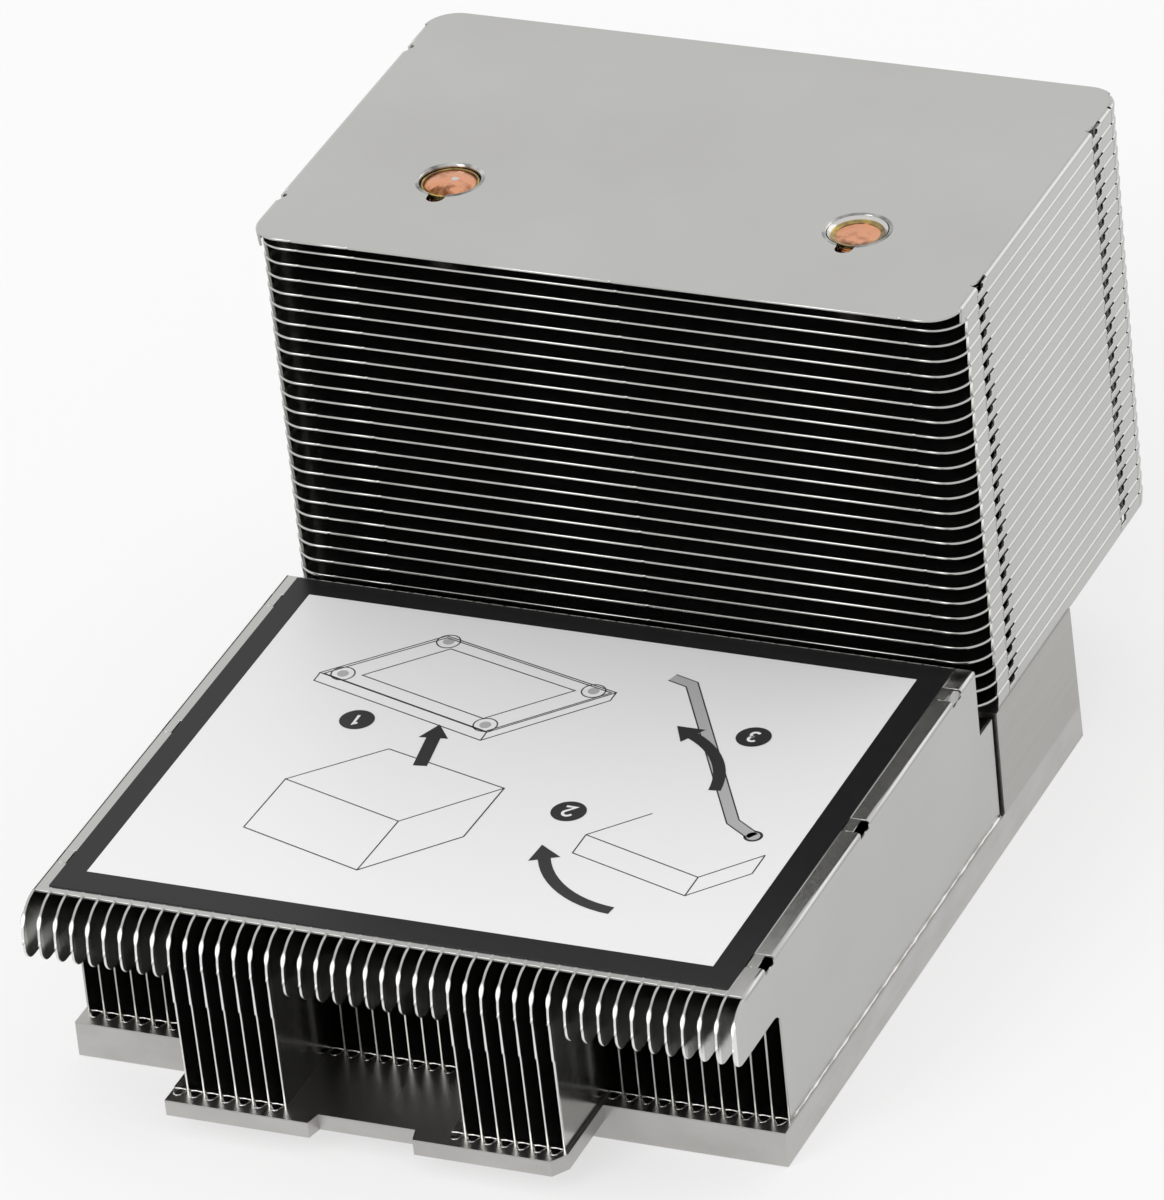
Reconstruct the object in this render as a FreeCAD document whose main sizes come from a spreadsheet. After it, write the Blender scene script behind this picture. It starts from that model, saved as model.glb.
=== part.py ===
import FreeCAD, Part
import Sketcher
import math
import os

# Passive server CPU heatsink: a machined base with a rear riser, two bent heat
# pipes, a tall stack of level zipper fins over the riser and a low bank of
# upright zipper fins in front of it, with a label on top of the low bank.
# X runs along the row of upright fins, Y from the nosed front to the rear, Z up.
# The origin is the middle of the base's underside.

DOC = FreeCAD.newDocument("heatsink")
V = FreeCAD.Vector

# ---------------------------------------------------------------- dimensions
SIZES = [
    # base and riser
    ("base_depth", "83.5", "base plate, front face to rear face"),
    ("base_thick", "4.0", "thickness of the base plate"),
    ("side_ledge", "0.3", "base showing beside the end fins"),
    ("riser_depth", "22.35", "riser, front to rear at the underside"),
    ("riser_height", "12.1", "riser above the base plate"),
    ("riser_draft", "0.9", "lean of the riser's rear face"),
    ("lip_thick", "1.8", "front lip, flush with the plate's top"),
    ("lip_reach", "10.75", "lip in front of the plate"),
    ("lip_notch", "10.6", "width of the notch between the two ears"),
    ("lip_notch_deep", "1.7", "depth of the notch"),
    ("lip_bevel", "0.8", "bevel on the right ear's corner"),
    # sheet metal
    ("gauge", "0.36", "fin sheet"),
    ("flange_gap", "0.05", "flange's edge to the next fin"),
    # low bank of upright fins
    ("low_pitch", "1.79", "pitch of the upright fins"),
    ("nosed_left", "9", "nosed fins at the left, end fin included"),
    ("long_left", "7", "long fins on the left ear"),
    ("nosed_mid", "10", "nosed fins over the notch"),
    ("long_right", "7", "long fins on the right ear"),
    ("nosed_right", "11", "nosed fins at the right"),
    ("low_height", "19.6", "upright fins, foot to top"),
    ("flange_lead", "5.65", "top flange in front of the base plate"),
    ("nose_round", "3.6", "round on top of the nose"),
    ("nose_deep", "6.6", "nose, top to underside"),
    ("nose_tip", "1.6", "round under the nose"),
    ("nose_root", "1.5", "round where the nose meets the fin"),
    ("foot_inset", "2.2", "foot behind the plate's front face"),
    ("ear_inset", "2.1", "foot of a long fin behind the lip's edge"),
    ("nick_drop", "8.7", "shear nick of a long fin below its top"),
    ("nick_step", "0.15", "set-back at the shear nick and lean above it"),
    ("step_run", "3.4", "step under the stack, front to rear"),
    ("step_gap", "0.3", "step below the riser's top"),
    ("riser_gap", "0.6", "upright fins to the riser"),
    ("lock_rear", "5.0", "rear interlock to the rear of the top flange"),
    ("lock_pitch", "25.65", "spacing of the interlocks"),
    ("lock_long", "2.4", "length of an interlock window"),
    ("lock_deep", "0.9", "interlock window across the flange"),
    ("lock_drop", "0.8", "interlock window down the fin"),
    # label
    ("label_thick", "0.15", "label"),
    ("label_left", "1.5", "bare flange at the left of the label"),
    ("label_right", "2.1", "bare flange at the right of the label"),
    ("label_front", "0.9", "bare flange in front of the label"),
    ("label_rear", "0.4", "bare flange behind the label"),
    # tall stack of level fins
    ("stack_count", "27", "level fins"),
    ("stack_pitch", "1.78", "pitch of the level fins"),
    ("stack_depth", "49.0", "level fins, front to rear"),
    ("stack_gap", "1.6", "upright fins to the stack"),
    ("stack_round", "3.5", "corner radius of the level fins"),
    ("top_overhang", "1.2", "top fin in front of the others"),
    ("zip_front", "7.8", "front zipper notch from the stack's front"),
    ("zip_rear", "8.1", "rear zipper notch from the stack's rear"),
    ("zip_long", "2.6", "zipper notch along the side"),
    ("zip_deep", "0.5", "zipper notch into the sheet"),
    ("zip_high", "0.9", "zipper notch down the flange"),
    # heat pipes
    ("pipe_bore", "6.0", "heat pipe's diameter"),
    ("pipe_side", "22.7", "heat pipe from the middle plane"),
    ("pipe_back", "12.3", "heat pipe behind the riser's front face"),
    ("pipe_nose", "11.5", "heat pipe's end behind the base's front face"),
    ("flat_high", "3.2", "heat pipe's height where it is pressed flat"),
    ("flat_wide", "7.6", "heat pipe's width where it is pressed flat"),
    ("pressed_bevel", "0.8", "bevel along the pressed heat pipe"),
    ("pipe_bend", "8.0", "bend of the heat pipe, centre line"),
    ("pipe_ease", "4.0", "length over which the flat grows round"),
    ("pipe_proud", "0.25", "heat pipe above the top fin"),
    ("pipe_dome", "0.6", "taper of the heat pipe's end"),
    ("pipe_sink", "0.05", "heat pipe below the base plate's top"),
    ("pipe_room", "0.15", "clearance round the heat pipe"),
    ("collar_wall", "0.36", "collar drawn from the top fin"),
    ("collar_high", "0.3", "collar above the top fin"),
    ("solder_slot", "2.2", "width of the solder slot beside the pipe"),
    ("solder_reach", "4.8", "end of the solder slot from the pipe's axis"),
]
DERIVED = [
    ("low_count", "=nosed_left + long_left + nosed_mid + long_right + nosed_right"),
    ("bank_half", "=((low_count - 1) * low_pitch + gauge) / 2"),
    ("half_width", "=bank_half + side_ledge"),
    ("base_front", "=-base_depth / 2"),
    ("base_back", "=base_depth / 2"),
    ("riser_front", "=base_back - riser_depth"),
    ("riser_top", "=base_thick + riser_height"),
    ("bank_top", "=base_thick + low_height"),
    ("flange_front", "=base_front - flange_lead"),
    ("nose_front", "=flange_front - nose_round"),
    ("nose_under", "=bank_top - nose_deep"),
    ("foot_front", "=base_front + foot_inset"),
    ("lip_front", "=base_front - lip_reach"),
    ("ear_foot", "=lip_front + ear_inset"),
    ("nick_level", "=bank_top - nick_drop"),
    ("step_back", "=riser_front - riser_gap"),
    ("low_back", "=step_back - step_run"),
    ("step_level", "=riser_top - step_gap"),
    ("lip_left", "=bank_half - (low_count - nosed_left) * low_pitch"),
    ("lip_right", "=bank_half - nosed_right * low_pitch"),
    ("notch_mid", "=lip_left + (long_left + nosed_mid / 2) * low_pitch"),
    ("stack_front", "=low_back + stack_gap"),
    ("stack_back", "=stack_front + stack_depth"),
    ("stack_top", "=riser_top + stack_count * stack_pitch"),
    ("top_front", "=stack_front - top_overhang"),
    ("zip_front_at", "=stack_front + zip_front"),
    ("zip_rear_at", "=stack_back - zip_rear"),
    ("pipe_half", "=pipe_bore / 2"),
    ("pipe_line", "=riser_front + pipe_back"),
    ("pipe_end", "=base_front + pipe_nose"),
    ("hole_half", "=pipe_half + pipe_room"),
    ("flat_top", "=base_thick - pipe_sink"),
    ("flat_mid", "=flat_top - flat_high / 2"),
    ("groove_floor", "=flat_top - flat_high"),
    ("groove_half", "=flat_wide / 2 + pipe_room"),
    ("groove_end", "=pipe_end - pipe_room"),
    ("bend_start", "=pipe_line - pipe_bend"),
    ("bend_mid", "=flat_mid + pipe_bend"),
    ("round_level", "=bend_mid + pipe_ease"),
    ("pipe_tip", "=stack_top + pipe_proud"),
]
SHEET = DOC.addObject("Spreadsheet::Sheet", "Dims")
row = 1
for alias, value, note in SIZES:
    SHEET.set("A%d" % row, note)
    SHEET.set("B%d" % row, value)
    SHEET.setAlias("B%d" % row, alias)
    row += 1
for alias, formula in DERIVED:
    SHEET.set("A%d" % row, alias.replace("_", " "))
    SHEET.set("B%d" % row, formula)
    SHEET.setAlias("B%d" % row, alias)
    row += 1
DOC.recompute()
NAMES = [entry[0] for entry in SIZES] + [entry[0] for entry in DERIVED]
SIZE = {alias: float(SHEET.get(alias)) for alias in NAMES}


# ------------------------------------------------------------------- helpers
def bind(text):
    """Put the sheet's name in front of every size in an expression."""
    out = ""
    word = ""
    for letter in text + " ":
        if letter.isalnum() or letter == "_":
            word += letter
            continue
        out += ("Dims." + word if word in SIZE else word) + letter
        word = ""
    return out.strip()


def number(text):
    """Value of an expression in the sheet's names."""
    return float(SHEET.evalExpression(bind(text)))


def bound(item, prop, text):
    """Tie one property of an object to the sheet."""
    item.setExpression(prop, bind(text))
    return item


def box(name, x_span, y_span, z_span):
    """A block between pairs of expressions."""
    block = DOC.addObject("Part::Box", name)
    for axis, side, span in (("x", "Length", x_span), ("y", "Width", y_span), ("z", "Height", z_span)):
        bound(block, ".Placement.Base." + axis, span[0])
        bound(block, side, "(%s) - (%s)" % (span[1], span[0]))
    return block


def rod(name, radius, x, y, z, length):
    """An upright cylinder."""
    item = DOC.addObject("Part::Cylinder", name)
    bound(item, "Radius", radius)
    bound(item, "Height", length)
    for axis, place in (("x", x), ("y", y), ("z", z)):
        bound(item, ".Placement.Base." + axis, place)
    return item


def fuse(name, shapes):
    item = DOC.addObject("Part::MultiFuse", name)
    item.Shapes = shapes
    item.Refine = True
    return item


def cut(name, base, tool):
    item = DOC.addObject("Part::Cut", name)
    item.Base = base
    item.Tool = tool
    item.Refine = True
    return item


def origin_plane(body, role):
    for feature in body.Origin.OriginFeatures:
        if feature.Role == role:
            return feature
    raise ValueError(role)


def closed_lines(sketch, corners):
    """A closed outline through corners given as pairs of expressions."""
    values = [V(number(a), number(b), 0) for a, b in corners]
    first = sketch.GeometryCount
    total = len(corners)
    for i in range(total):
        sketch.addGeometry(Part.LineSegment(values[i], values[(i + 1) % total]), False)
    for i in range(total):
        here = first + i
        after = first + (i + 1) % total
        sketch.addConstraint(Sketcher.Constraint("Coincident", here, 2, after, 1))
    for i, (a, b) in enumerate(corners):
        for kind, text, value in (("DistanceX", a, values[i].x), ("DistanceY", b, values[i].y)):
            index = sketch.addConstraint(Sketcher.Constraint(kind, -1, 1, first + i, 1, value))
            sketch.setExpression("Constraints[%d]" % index, "(%s) * 1 mm" % bind(text))


def upright_sketch(name, corners):
    """A sketch in the YZ plane: first number along Y, second along Z."""
    sketch = DOC.addObject("Sketcher::SketchObject", name)
    sketch.Placement = FreeCAD.Placement(V(), FreeCAD.Rotation(V(1, 1, 1), 120))
    closed_lines(sketch, corners)
    return sketch


def turn(x, y, radius, start, steps, way=1):
    """Corners along a quarter turn about (x, y), from an angle in degrees."""
    corners = []
    for i in range(steps + 1):
        angle = math.radians(start + way * 90.0 * i / steps)
        corners.append((
            "%s + %s * %.6f" % (x, radius, math.cos(angle)),
            "%s + %s * %.6f" % (y, radius, math.sin(angle)),
        ))
    return corners


PARTS = {}


def keep(item, label):
    item.Label = label
    PARTS[label] = item
    return item


# ---------------------------------------------------------------------- base
# One milled block: plate and riser from a side profile, the front lip with its
# notch, and the two channels that the heat pipes lie in.
base = DOC.addObject("PartDesign::Body", "base_body")


def body_sketch(body, name, role, corners_list, offset="0"):
    sketch = body.newObject("Sketcher::SketchObject", name)
    sketch.AttachmentSupport = [(origin_plane(body, role), "")]
    sketch.MapMode = "FlatFace"
    bound(sketch, ".AttachmentOffset.Base.z", offset)
    for corners in corners_list:
        closed_lines(sketch, corners)
    DOC.recompute()
    return sketch


side = body_sketch(base, "base_side", "YZ_Plane", [[
    ("base_front", "0"),
    ("base_back", "0"),
    ("base_back - riser_draft", "riser_top"),
    ("riser_front", "riser_top"),
    ("riser_front", "base_thick"),
    ("base_front", "base_thick"),
]])
plate = base.newObject("PartDesign::Pad", "plate_and_riser")
plate.Profile = side
plate.SideType = "Symmetric"
bound(plate, "Length", "2 * half_width")

lip_outline = body_sketch(base, "lip_outline", "XY_Plane", [[
    ("lip_left", "base_front + 1"),
    ("lip_left", "lip_front"),
    ("notch_mid - lip_notch / 2 - lip_notch_deep / 4", "lip_front"),
    ("notch_mid - lip_notch / 2", "lip_front + lip_notch_deep"),
    ("notch_mid + lip_notch / 2", "lip_front + lip_notch_deep"),
    ("notch_mid + lip_notch / 2 + lip_notch_deep / 4", "lip_front"),
    ("lip_right - lip_bevel", "lip_front"),
    ("lip_right + lip_bevel / 2", "lip_front + lip_notch_deep"),
    ("lip_right + lip_bevel / 2", "base_front + 1"),
]], "base_thick - lip_thick")
lip = base.newObject("PartDesign::Pad", "lip")
lip.Profile = lip_outline
bound(lip, "Length", "lip_thick")


def channel(side_sign):
    middle = "%s pipe_side" % side_sign
    return [
        ("%s - groove_half" % middle, "groove_end"),
        ("%s + groove_half" % middle, "groove_end"),
        ("%s + groove_half" % middle, "pipe_line + hole_half"),
        ("%s - groove_half" % middle, "pipe_line + hole_half"),
    ]


channels = body_sketch(base, "channel_outline", "XY_Plane", [channel("-"), channel("0 +")], "riser_top")
milled = base.newObject("PartDesign::Pocket", "channels")
milled.Profile = channels
bound(milled, "Length", "riser_top - groove_floor")
DOC.recompute()
base.Tip = milled
keep(base, "base")


# ---------------------------------------------------------------- heat pipes
# Copper tube pressed flat in the base, bent up through the riser and round
# again through the stack; its end is swaged shut above the top fin.
def heat_pipe(label, middle):
    wide = "flat_wide / 2"
    high = "flat_high / 2"
    pressed = []
    eight = []
    for i, (side, up) in enumerate(((1, -1), (1, 1), (-1, 1), (-1, -1))):
        near = ("%d * (%s - pressed_bevel)" % (side, wide), "%d * %s" % (up, high))
        far = ("%d * %s" % (side, wide), "%d * (%s - pressed_bevel)" % (up, high))
        pressed += [near, far] if i % 2 == 0 else [far, near]
        for angle in (90 * i - 67.5, 90 * i - 22.5):
            eight.append(("pipe_half * %.6f" % math.cos(math.radians(angle)),
                          "pipe_half * %.6f" % math.sin(math.radians(angle))))

    def section(name, tilt, y, z, corners):
        sketch = DOC.addObject("Sketcher::SketchObject", name)
        sketch.Placement = FreeCAD.Placement(V(), FreeCAD.Rotation(V(1, 0, 0), tilt))
        for axis, place in (("x", middle), ("y", y), ("z", z)):
            bound(sketch, ".Placement.Base." + axis, place)
        closed_lines(sketch, corners)
        return sketch

    flat_end = section(label + "_flat", 90, "bend_start", "flat_mid", pressed)
    leg = DOC.addObject("Part::Extrusion", label + "_leg")
    leg.Base = flat_end
    leg.DirMode = "Custom"
    leg.Dir = V(0, -1, 0)
    leg.Solid = True
    bound(leg, "LengthFwd", "bend_start - pipe_end")
    bend = DOC.addObject("Part::Revolution", label + "_bend")
    bend.Source = flat_end
    bend.Axis = V(1, 0, 0)
    bend.Angle = 90
    bend.Solid = True
    bound(bend, ".Base.y", "bend_start")
    bound(bend, ".Base.z", "bend_mid")
    ease = DOC.addObject("Part::Loft", label + "_ease")
    ease.Sections = [
        section(label + "_flat_up", 0, "pipe_line", "bend_mid", pressed),
        section(label + "_round", 0, "pipe_line", "round_level", eight),
    ]
    ease.Ruled = True
    ease.Solid = True
    shaft = rod(label + "_shaft", "pipe_half", middle, "pipe_line", "round_level",
                "pipe_tip - pipe_dome - round_level")
    dome = DOC.addObject("Part::Cone", label + "_tip")
    bound(dome, "Radius1", "pipe_half")
    bound(dome, "Radius2", "pipe_half - pipe_dome")
    bound(dome, "Height", "pipe_dome")
    for axis, place in (("x", middle), ("y", "pipe_line"), ("z", "pipe_tip - pipe_dome")):
        bound(dome, ".Placement.Base." + axis, place)
    return keep(fuse(label + "_whole", [leg, bend, ease, shaft, dome]), label)


heat_pipe("heat_pipe_left", "-pipe_side")
heat_pipe("heat_pipe_right", "0 + pipe_side")

# ------------------------------------------------- low bank of upright fins
# Each fin is a sheet with a top flange, a flange on its rear step and a foot
# folded towards the left, as wide as the pitch, so the flanges close the bank's
# top and stand on the base.
# Nosed fins reach out over the plate's front edge; long fins run down to the
# lip's ears. The last fold, which the label leaves bare, shows the windows of
# the zipper.
NOSE_TOP = turn("nose_front + nose_round", "bank_top - nose_round", "nose_round", 90, 3)
REAR = [
    ("step_back", "base_thick"),
    ("step_back", "step_level"),
    ("low_back", "step_level"),
    ("low_back", "bank_top"),
]
nosed_outline = upright_sketch("nosed_outline", REAR + NOSE_TOP
    + turn("nose_front + nose_tip", "nose_under + nose_tip", "nose_tip", 180, 2)
    + turn("foot_front - nose_root", "nose_under - nose_root", "nose_root", 90, 2, -1)
    + [("foot_front", "base_thick")])
long_outline = upright_sketch("long_outline", REAR + NOSE_TOP + [
    ("nose_front + nick_step", "nick_level"),
    ("nose_front + 2 * nick_step", "nick_level"),
    ("ear_foot", "base_thick"),
])


def upright_fin(index, outline, foot):
    """One fin; index counts from the left, the end fin being 0."""
    name = "upright_%02d" % (index + 1)
    face = "%d * low_pitch - bank_half + gauge" % index
    web = DOC.addObject("Part::Extrusion", name + "_web")
    web.Base = outline
    web.DirMode = "Custom"
    web.Dir = V(1, 0, 0)
    web.Solid = True
    bound(web, "LengthFwd", "gauge")
    bound(web, ".Placement.Base.x", face + " - gauge")
    if index == 0:
        return web
    across = (face + " - low_pitch + flange_gap", face)
    top = box(name + "_top", across, ("flange_front", "low_back"), ("bank_top - gauge", "bank_top"))
    step = box(name + "_step", across, ("low_back", "step_back"), ("step_level - gauge", "step_level"))
    base_flange = box(name + "_foot", across, (foot, "step_back"), ("base_thick", "base_thick + gauge"))
    folded = fuse(name + "_folded", [web, top, step, base_flange])
    if index < SIZE["low_count"] - 1:
        return folded
    windows = []
    for i in range(3):
        middle = "low_back - lock_rear - %d * lock_pitch" % i
        windows.append(box(
            "%s_window_%d" % (name, i + 1),
            (face + " - lock_deep", face + " + gauge"),
            (middle + " - lock_long / 2", middle + " + lock_long / 2"),
            ("bank_top - lock_drop", "bank_top + gauge"),
        ))
    return cut(name, folded, fuse(name + "_windows", windows))


KINDS = [
    ("nosed_fins_left", "nosed_left", nosed_outline, "foot_front"),
    ("long_fins_left", "long_left", long_outline, "ear_foot"),
    ("nosed_fins_middle", "nosed_mid", nosed_outline, "foot_front"),
    ("long_fins_right", "long_right", long_outline, "ear_foot"),
    ("nosed_fins_right", "nosed_right", nosed_outline, "foot_front"),
]
index = 0
for label, count, outline, foot in KINDS:
    bank = []
    for i in range(int(SIZE[count])):
        fin = upright_fin(index, outline, foot)
        if index == 0:
            keep(fin, "end_fin")
        else:
            bank.append(fin)
        index += 1
    group = DOC.addObject("Part::Compound", label + "_bank")
    group.Links = bank
    keep(group, label)

# --------------------------------------------------------------------- label
label_plate = box(
    "label_plate",
    ("label_left - bank_half", "bank_half - label_right"),
    ("flange_front + label_front", "low_back - label_rear"),
    ("bank_top", "bank_top + label_thick"),
)
keep(label_plate, "label")


# ------------------------------------------------ tall stack of level fins
# Each fin is a sheet with both sides folded down by one pitch, so it stands on
# the fin below and the lowest stands on the riser. Notches in the folds are the
# zipper that holds the stack together.
def sheet_outline(name, front, steps):
    """Outline of a level fin with rounded corners."""
    sketch = DOC.addObject("Sketcher::SketchObject", name)
    right = "half_width - stack_round"
    left = "stack_round - half_width"
    corners = []
    for x, y, start in (
        (right, "stack_back - stack_round", 0),
        (left, "stack_back - stack_round", 90),
        (left, front + " + stack_round", 180),
        (right, front + " + stack_round", 270),
    ):
        corners += turn(x, y, "stack_round", start, steps)
    closed_lines(sketch, corners)
    return sketch


def pipe_outline(sketch, middle):
    """Six-sided pipe hole, its flats clear of the pipe."""
    corners = []
    for i in range(6):
        angle = math.radians(60 * i)
        reach = 1 / math.cos(math.radians(30))
        corners.append((
            "%s + hole_half * %.6f" % (middle, reach * math.cos(angle)),
            "pipe_line + hole_half * %.6f" % (reach * math.sin(angle)),
        ))
    closed_lines(sketch, corners)


def level_fin(name, outline, level, front):
    """Sheet, two side flanges and four zipper notches at one level."""
    sheet = DOC.addObject("Part::Extrusion", name + "_sheet")
    sheet.Base = outline
    sheet.DirMode = "Custom"
    sheet.Dir = V(0, 0, 1)
    sheet.Solid = True
    bound(sheet, "LengthFwd", "gauge")
    bound(sheet, ".Placement.Base.z", level + " - gauge")
    flanges = []
    notches = []
    for hand, side in (("left", "-"), ("right", "0 +")):
        edge = side + " half_width"
        inner = "%s (half_width - gauge)" % side
        span = (edge, inner) if side == "-" else (inner, edge)
        flanges.append(box(
            "%s_%s_flange" % (name, hand), span,
            (front + " + stack_round", "stack_back - stack_round"),
            (level + " - stack_pitch", level),
        ))
        deep = "%s (half_width - zip_deep)" % side
        past = "%s (half_width + gauge)" % side
        span = (past, deep) if side == "-" else (deep, past)
        for end, middle in (("front", "zip_front_at"), ("rear", "zip_rear_at")):
            notches.append(box(
                "%s_%s_%s_notch" % (name, hand, end), span,
                (middle + " - zip_long / 2", middle + " + zip_long / 2"),
                (level + " - zip_high", level + " + gauge"),
            ))
    folded = fuse(name + "_folded", [sheet] + flanges)
    return folded, notches


inner_outline = sheet_outline("level_outline", "stack_front", 3)
pipe_outline(inner_outline, "0 - pipe_side")
pipe_outline(inner_outline, "0 + pipe_side")
for i in range(int(SIZE["stack_count"]) - 1):
    name = "level_fin_%02d" % (i + 1)
    level = "riser_top + %d * stack_pitch" % (i + 1)
    folded, notches = level_fin(name, inner_outline, level, "stack_front")
    keep(cut(name + "_whole", folded, fuse(name + "_notches", notches)), name)

# The top fin has a collar round each pipe and a keyhole slot for solder.
top_outline = sheet_outline("top_outline", "top_front", 6)
folded, notches = level_fin("top_fin", top_outline, "stack_top", "top_front")
collars = []
holes = []
for hand, middle in (("left", "-pipe_side"), ("right", "0 + pipe_side")):
    collars.append(rod("collar_" + hand, "hole_half + collar_wall", middle, "pipe_line",
                       "stack_top - gauge", "gauge + collar_high"))
    holes.append(rod("pipe_hole_" + hand, "hole_half", middle, "pipe_line",
                     "stack_top - 2 * gauge", "3 * gauge + collar_high"))
    holes.append(box(
        "solder_slot_" + hand,
        (middle + " - solder_slot / 2", middle + " + solder_slot / 2"),
        ("pipe_line - solder_reach", "pipe_line - hole_half + collar_wall"),
        ("stack_top - 2 * gauge", "stack_top + 2 * collar_high"),
    ))
drawn = fuse("top_fin_drawn", [folded] + collars)
keep(cut("top_fin_whole", drawn, fuse("top_fin_cuts", notches + holes)), "top_fin")

# -------------------------------------------------------------------- export
DOC.recompute()
for item in DOC.Objects:
    if "Invalid" in item.State or "Error" in item.State:
        raise ValueError("%s: %s" % (item.Label, item.State))
for label, item in PARTS.items():
    if item.Shape.isNull() or not item.Shape.isValid() or not item.Shape.Solids:
        raise ValueError("%s has no valid solid" % label)
os.makedirs("parts", exist_ok=True)
for label, item in PARTS.items():
    item.Shape.exportStep("parts/%s.step" % label)
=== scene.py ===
import bpy
import math
import numpy as np
from mathutils import Euler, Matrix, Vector
from mathutils.geometry import tessellate_polygon


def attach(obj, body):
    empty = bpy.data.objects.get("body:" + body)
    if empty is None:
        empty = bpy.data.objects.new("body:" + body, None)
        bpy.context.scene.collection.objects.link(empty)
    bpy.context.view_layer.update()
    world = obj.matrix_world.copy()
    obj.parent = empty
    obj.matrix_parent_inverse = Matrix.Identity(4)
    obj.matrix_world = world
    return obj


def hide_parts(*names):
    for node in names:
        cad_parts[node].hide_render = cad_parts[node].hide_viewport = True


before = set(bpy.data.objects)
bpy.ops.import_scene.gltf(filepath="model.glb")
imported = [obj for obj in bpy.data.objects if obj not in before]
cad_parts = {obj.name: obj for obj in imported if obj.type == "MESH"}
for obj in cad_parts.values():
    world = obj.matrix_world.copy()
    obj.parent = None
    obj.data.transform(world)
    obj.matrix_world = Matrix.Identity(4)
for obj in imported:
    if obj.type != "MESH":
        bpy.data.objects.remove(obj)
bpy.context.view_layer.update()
# The pieces' sizes are in millimetres, and MM makes metres of them. Materials,
# lights and camera are in metres.
MM = 0.001


# ---------------------------------------------------------------------- base
# The milled base with its riser: one block, nickel plated over cutter marks.
# It keeps its CAD mesh; a small bevel stands for the tumbled edges.
def shader(name, color, metallic, roughness):
    """A new material and its node tree with one Principled shader."""
    material = bpy.data.materials.new(name)
    material.use_nodes = True
    tree = material.node_tree
    surface = tree.nodes["Principled BSDF"]
    surface.inputs["Base Color"].default_value = (*color, 1.0)
    surface.inputs["Metallic"].default_value = metallic
    surface.inputs["Roughness"].default_value = roughness
    return material, tree, surface


def object_noise(tree, scale, stretch, detail=4.0):
    """Noise in object coordinates, stretched along one or more axes."""
    coordinates = tree.nodes.new("ShaderNodeTexCoord")
    mapping = tree.nodes.new("ShaderNodeMapping")
    mapping.inputs["Scale"].default_value = stretch
    tree.links.new(coordinates.outputs["Object"], mapping.inputs["Vector"])
    noise = tree.nodes.new("ShaderNodeTexNoise")
    noise.inputs["Scale"].default_value = scale
    noise.inputs["Detail"].default_value = detail
    tree.links.new(mapping.outputs["Vector"], noise.inputs["Vector"])
    return noise.outputs["Fac"]


def ramp(tree, value, low, high, start=0.3, end=0.7):
    """Map a value between two numbers."""
    node = tree.nodes.new("ShaderNodeMapRange")
    node.inputs["From Min"].default_value = start
    node.inputs["From Max"].default_value = end
    node.inputs["To Min"].default_value = low
    node.inputs["To Max"].default_value = high
    tree.links.new(value, node.inputs["Value"])
    return node.outputs["Result"]


def bump(tree, surface, value, strength, distance):
    """Bump the surface by a value."""
    node = tree.nodes.new("ShaderNodeBump")
    node.inputs["Strength"].default_value = strength
    node.inputs["Distance"].default_value = distance
    tree.links.new(value, node.inputs["Height"])
    tree.links.new(node.outputs["Normal"], surface.inputs["Normal"])


def tint(tree, surface, value, first, second):
    """Base colour between two tones by a value from 0.3 to 0.7."""
    node = tree.nodes.new("ShaderNodeMix")
    node.data_type = "RGBA"
    node.inputs[6].default_value = (*first, 1.0)
    node.inputs[7].default_value = (*second, 1.0)
    tree.links.new(ramp(tree, value, 0.0, 1.0), node.inputs[0])
    tree.links.new(node.outputs[2], surface.inputs["Base Color"])


def along(tree, axis):
    """One of the three object coordinates."""
    coordinates = tree.nodes.new("ShaderNodeTexCoord")
    axes = tree.nodes.new("ShaderNodeSeparateXYZ")
    tree.links.new(coordinates.outputs["Object"], axes.inputs["Vector"])
    return axes.outputs[axis]


def overlay(tree, surface, share, color):
    """A last tone over the tinted base colour, by a share from 0 to 1."""
    node = tree.nodes.new("ShaderNodeMix")
    node.data_type = "RGBA"
    node.inputs[7].default_value = (*color, 1.0)
    tree.links.new(share, node.inputs[0])
    tree.links.new(surface.inputs["Base Color"].links[0].from_socket, node.inputs[6])
    tree.links.new(node.outputs[2], surface.inputs["Base Color"])


def dress(piece, material):
    """One material all over a piece."""
    piece.data.materials.clear()
    piece.data.materials.append(material)


plated, tree, surface = shader("plated_base", (0.5, 0.49, 0.475), 1.0, 0.22)
marks = object_noise(tree, 1600.0, (1.0, 0.03, 1.0))
tree.links.new(ramp(tree, marks, 0.27, 0.36), surface.inputs["Roughness"])
bump(tree, surface, marks, 0.03, 0.00003)
cloud = object_noise(tree, 160.0, (1.0, 1.0, 2.0), 3.0)
tint(tree, surface, cloud, (0.46, 0.45, 0.435), (0.52, 0.51, 0.495))
# From 3.75 mm up, so on the top face and the riser, the base is painted darker: painted shade where it lies
# under and between the fins.
painted_upper_shade = ramp(tree, along(tree, "Z"), 0.0, 1.0, 0.00375, 0.00395)
overlay(tree, surface, painted_upper_shade, (0.42, 0.41, 0.39))
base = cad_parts["base"]
dress(base, plated)
edges = base.modifiers.new("edges", "BEVEL")
edges.width = 0.15 * MM
edges.segments = 2
edges.limit_method = "ANGLE"
edges.angle_limit = math.radians(40)

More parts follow.
